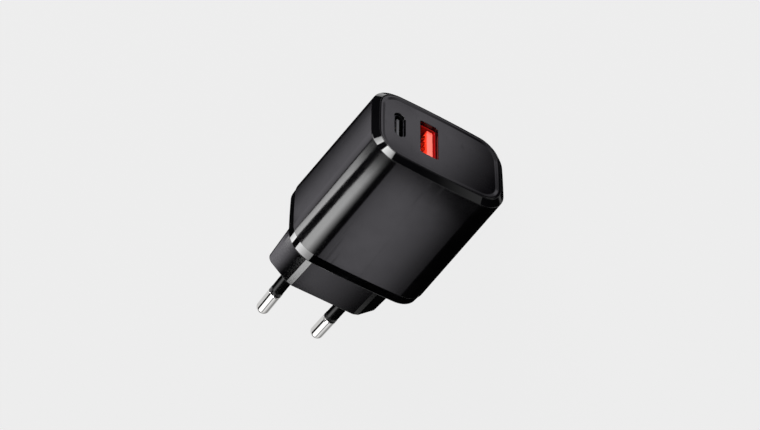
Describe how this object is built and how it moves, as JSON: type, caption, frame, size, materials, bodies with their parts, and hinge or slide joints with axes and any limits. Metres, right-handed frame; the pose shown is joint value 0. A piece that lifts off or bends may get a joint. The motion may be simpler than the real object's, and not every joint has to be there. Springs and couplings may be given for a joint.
{
  "type": "usb wall charger",
  "caption": "Compact USB wall charger: rounded black case with a satin sleeve, glossy bevels, a fixed pinned plug block, and rectangular and oval charging ports in its end face.",
  "frame": {"origin": "centre of the plug face that meets the wall socket, between the two pins", "axes": "+Y out along the pins towards the wall, ports facing -Y, +Z out of one wide face, +X towards the oval port's side"},
  "size_m": [0.0426, 0.0785, 0.0304],
  "materials": {
    "case_satin": "satin black polycarbonate",
    "cap_gloss": "polished black polycarbonate",
    "bezel_gloss": "polished black polycarbonate",
    "panel_satin": "fine satin black polycarbonate",
    "pin_plating": "polished nickel plate on brass",
    "pin_sleeve_black": "moulded black insulation",
    "spring_brass": "plain strip",
    "port_red": "moulded red insulator",
    "shell_steel": "nickel plated steel",
    "contact_gold": "gold flash",
    "insulator_black": "moulded black insulator",
    "board_green": "solder resist on glass laminate",
    "tinned_metal": "tin solder and tinned wire",
    "fuse_black": "moulded",
    "film_yellow": "moulded case",
    "ferrite": "sintered ferrite",
    "copper_wire": "enamelled copper",
    "chip_black": "moulded epoxy",
    "ceramic_tan": "fired ceramic",
    "can_aluminium": "drawn aluminium",
    "jacket_black": "shrunk sleeve",
    "bung_rubber": "moulded rubber",
    "bobbin_black": "moulded phenolic",
    "tape_yellow": "polyester film tape",
    "disc_blue": "dipped epoxy",
    "sheet_clear": "translucent polyester film",
    "pad_grey": "soft silicone pad"
  },
  "bodies": {
    "root": {"board_link_pins": "tinned_metal", "bridge_rectifier": "chip_black", "chip_capacitors": "ceramic_tan", "chip_resistors": "chip_black", "film_capacitor": "film_yellow", "film_capacitor_leads": "tinned_metal", "filter_inductor_core": "ferrite", "filter_inductor_leads": "tinned_metal", "filter_inductor_winding": "copper_wire", "front_bezel": "bezel_gloss", "fuse_body": "fuse_black", "fuse_leads": "tinned_metal", "housing_sleeve": "case_satin", "input_capacitor_bungs": "bung_rubber", "input_capacitor_cans": "can_aluminium", "input_capacitor_jackets": "jacket_black", "input_capacitor_leads": "tinned_metal", "insulation_sheet": "sheet_clear", "live_contact_spring": "spring_brass", "live_pin": "pin_plating", "live_pin_sleeve": "pin_sleeve_black", "main_board": "board_green", "neutral_contact_spring": "spring_brass", "neutral_pin": "pin_plating", "neutral_pin_sleeve": "pin_sleeve_black", "optocoupler": "chip_black", "output_capacitor_bungs": "bung_rubber", "output_capacitor_cans": "can_aluminium", "output_capacitor_leads": "tinned_metal", "plug_cap": "cap_gloss", "port_board": "board_green", "port_panel": "panel_satin", "power_switch_ic": "chip_black", "protocol_ic": "chip_black", "rectifier_ic": "chip_black", "snubber_diode": "chip_black", "solder_joints": "tinned_metal", "thermal_pad": "pad_grey", "transformer_bobbin": "bobbin_black", "transformer_core": "ferrite", "transformer_pins": "tinned_metal", "transformer_tape": "tape_yellow", "transformer_winding": "copper_wire", "usb_a_contacts": "contact_gold", "usb_a_housing": "port_red", "usb_a_shell": "shell_steel", "usb_c_contacts": "contact_gold", "usb_c_shell": "shell_steel", "usb_c_tongue": "insulator_black", "y_capacitor": "disc_blue", "y_capacitor_leads": "tinned_metal"}
  },
  "joints": []
}
